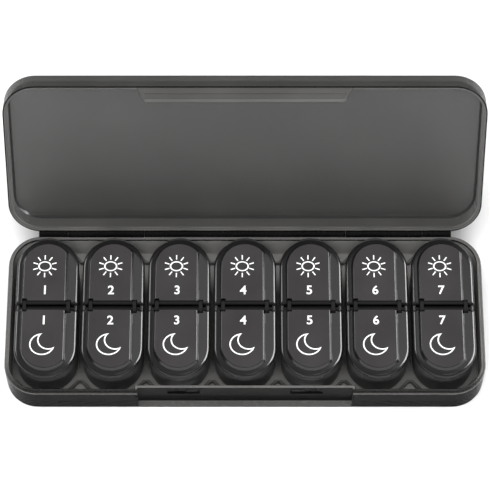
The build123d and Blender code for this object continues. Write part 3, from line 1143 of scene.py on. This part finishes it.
for source, target in (
    (sun_in.outputs["Ring radius"], ring_line.inputs["Radius"]),
    (sun_in.outputs["Stroke"], ring_section.inputs["Width"]),
    (sun_in.outputs["Film"], ring_section.inputs["Height"]),
    (ring_line.outputs["Curve"], ring_band.inputs["Curve"]),
    (ring_section.outputs["Curve"], ring_band.inputs["Profile Curve"]),
    (sun_in.outputs["Rays"], ray_points.inputs["Vertices"]),
    (sun_in.outputs["Ray middle"], ray_points.inputs["Radius"]),
    (sun_in.outputs["Ray length"], ray_size.inputs["X"]),
    (sun_in.outputs["Ray width"], ray_size.inputs["Y"]),
    (sun_in.outputs["Film"], ray_size.inputs["Z"]),
    (ray_size.outputs["Vector"], ray_bar.inputs["Size"]),
    (ray_place.outputs["Position"], ray_turn.inputs["Vector"]),
    (ray_points.outputs["Mesh"], ray_spread.inputs["Points"]),
    (ray_bar.outputs["Mesh"], ray_spread.inputs["Instance"]),
    (ray_turn.outputs["Rotation"], ray_spread.inputs["Rotation"]),
    (ray_spread.outputs["Instances"], ray_upright.inputs["Geometry"]),
    (sun_in.outputs["Ring flatness"], ring_scale.inputs["Y"]),
    (ring_scale.outputs["Vector"], ring_oval.inputs["Scale"]),
    (ring_band.outputs["Mesh"], ring_oval.inputs["Geometry"]),
    (ring_oval.outputs["Geometry"], sun_join.inputs["Geometry"]),
    (ray_upright.outputs["Geometry"], sun_join.inputs["Geometry"]),
    (sun_join.outputs["Geometry"], sun_solid.inputs["Geometry"]),
    (sun_solid.outputs["Geometry"], sun_paint.inputs["Geometry"]),
    (sun_paint.outputs["Geometry"], sun_out.inputs["Geometry"]),
):
    sun_tree.links.new(source, target)
sun_maker = bpy.data.objects.new("sun_maker", bpy.data.meshes.new("sun_maker"))
sun_modifier = sun_maker.modifiers.new("Sun print", "NODES")
sun_modifier.node_group = sun_tree
for size_name, size in sun_sizes.items():
    sun_modifier[sun_sockets[size_name].identifier] = size
sun_sign = plain_mesh(sun_maker)


def crescent_ring(radius, bite, height):
    """Ring round a crescent: a long arc outside and the arc of the bite inside."""
    tip_u = (radius ** 2 - bite ** 2 + moon_shift ** 2) / (2 * moon_shift)
    tip_v = math.sqrt(radius ** 2 - tip_u ** 2)
    outer_start = math.atan2(tip_v, tip_u)
    inner_start = math.atan2(tip_v, tip_u - moon_shift)
    ring = []
    for step in range(moon_steps + 1):
        turn = outer_start + (math.tau - 2 * outer_start) * step / moon_steps
        ring.append(Vector((radius * math.cos(turn), radius * math.sin(turn), height)))
    for step in range(1, bite_steps):
        turn = math.tau - inner_start - (math.tau - 2 * inner_start) * step / bite_steps
        ring.append(Vector((moon_shift + bite * math.cos(turn), bite * math.sin(turn), height)))
    lie = Matrix.Diagonal((*moon_spread, 1)) @ Matrix.Rotation(moon_turn, 3, "Z")
    return [lie @ point for point in ring]


half_film = ink_film / 2
moon_shell = loft(
    [
        crescent_ring(moon_radius, moon_bite, -half_film),
        crescent_ring(moon_radius, moon_bite, half_film),
        crescent_ring(moon_radius - moon_stroke, moon_bite + moon_stroke, half_film),
        crescent_ring(moon_radius - moon_stroke, moon_bite + moon_stroke, -half_film),
    ],
    ring_shaped=True,
)
moon_sign = bpy.data.meshes.new("moon_sign")
moon_shell.to_mesh(moon_sign)


def figure(number):
    """Bold figure of the day, centred, with the height of the printed capitals."""
    line = bpy.data.curves.new("figure", "FONT")
    line.body = str(number)
    line.size = figure_height / capital_share
    line.offset = figure_bold
    line.extrude = half_film
    mesh = plain_mesh(bpy.data.objects.new("figure", line))
    low = Vector([min(v.co[i] for v in mesh.vertices) for i in range(3)])
    high = Vector([max(v.co[i] for v in mesh.vertices) for i in range(3)])
    grow = figure_height / (high.y - low.y)
    mesh.transform(Matrix.Diagonal((grow, grow, 1, 1)) @ Matrix.Translation(-(low + high) / 2))
    return mesh


ink_height = panel_top + half_film - ink_sunk
for kind, sign, facing in (("sun", sun_sign, 1), ("moon", moon_sign, -1)):
    for day, place in enumerate(day_places, 1):
        film = bmesh.new()
        for mesh, x, y in ((figure(day), print_x, figure_y), (sign, sign_x, sign_y)):
            inked = mesh.copy()
            inked.transform(place @ Matrix.Translation((x, facing * y, ink_height)))
            inked.transform(Matrix.Scale(mm, 4))
            film.from_mesh(inked)
        ink_mesh = bpy.data.meshes.new(f"{kind}_print_{day}")
        film.to_mesh(ink_mesh)
        ink_mesh.materials.clear()
        ink_mesh.materials.append(ink)
        label = bpy.data.objects.new(f"{kind}_print_{day}", ink_mesh)
        in_scene.link(label)
        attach(label, f"{kind}_lid_{day}")

# Studio: a plain pale floor under broad soft light from above and from the front. Panels of light
# at the sides only show as highlights. The camera stands at the photo's angle.
floor_half = 3.0
floor_corners = [(x * floor_half, y * floor_half, 0.0) for x, y in ((-1, -1), (1, -1), (1, 1), (-1, 1))]
floor_mesh = bpy.data.meshes.new("floor")
floor_mesh.from_pydata(floor_corners, [], [(0, 1, 2, 3)])
floor = bpy.data.objects.new("floor", floor_mesh)
in_scene.link(floor)
paper = bpy.data.materials.new("Pale paper")
paper.use_nodes = True
paper_shader = paper.node_tree.nodes["Principled BSDF"]
paper_shader.inputs["Base Color"].default_value = (0.9, 0.9, 0.9, 1)
paper_shader.inputs["Roughness"].default_value = 0.9
floor_mesh.materials.append(paper)

world = bpy.data.worlds.new("Studio")
bpy.context.scene.world = world
world.use_nodes = True
sky = world.node_tree.nodes["Background"]
sky.inputs["Color"].default_value = (1, 1, 1, 1)
sky.inputs["Strength"].default_value = 0.25


def softbox(name, place, size, power):
    """Rectangular soft light that points at the middle of the tray."""
    lamp = bpy.data.lights.new(name, "AREA")
    lamp.shape = "RECTANGLE"
    lamp.size, lamp.size_y = size
    lamp.energy = power
    box = bpy.data.objects.new(name, lamp)
    in_scene.link(box)
    box.location = place
    box.rotation_euler = (Vector() - Vector(place)).to_track_quat("-Z", "Y").to_euler()
    return box


softbox("Back box", (0.14, 0.44, 1.244), (0.8, 0.44), 1.55)
key = softbox("Top key", (-0.2, -0.15, 1.8), (1.8, 1.8), 46.0)
fill = softbox("Front fill", (0, -1.6, 0.6), (1.5, 0.6), 28.0)
for broad_light in (key, fill):
    broad_light.visible_glossy = False
for edge_light in (
    softbox("Right panel", (1.04, 0.25, 0.75), (1.0, 0.9), 52.0),
    softbox("Left panel", (-0.95, 0.55, 0.7), (0.6, 0.6), 9.0),
    softbox("Front strip", (0.33, -0.65, 1.08), (0.5, 0.2), 1.2),
):
    edge_light.visible_diffuse = False

view_elevation = math.radians(64.2)
view_distance = 1094 * mm
photo_side = 490
focal_pixels = 2447.0
hinge_edge = Vector((0.0, case_depth / 2 * mm, ledge_height * mm))
hinge_edge_row = 236.4  # where the photo has it, in pixels from the top
camera_data = bpy.data.cameras.new("Camera")
camera_data.sensor_width = 36.0
camera_data.lens = focal_pixels / photo_side * camera_data.sensor_width
camera = bpy.data.objects.new("Camera", camera_data)
in_scene.link(camera)
camera.location = hinge_edge + view_distance * Vector(
    (0, -math.cos(view_elevation), math.sin(view_elevation))
)
tilt = math.atan((photo_side / 2 - hinge_edge_row) / focal_pixels)
camera.rotation_euler = (math.pi / 2 - view_elevation - tilt, 0, 0)
bpy.context.scene.camera = camera
bpy.context.scene.view_settings.view_transform = "Standard"
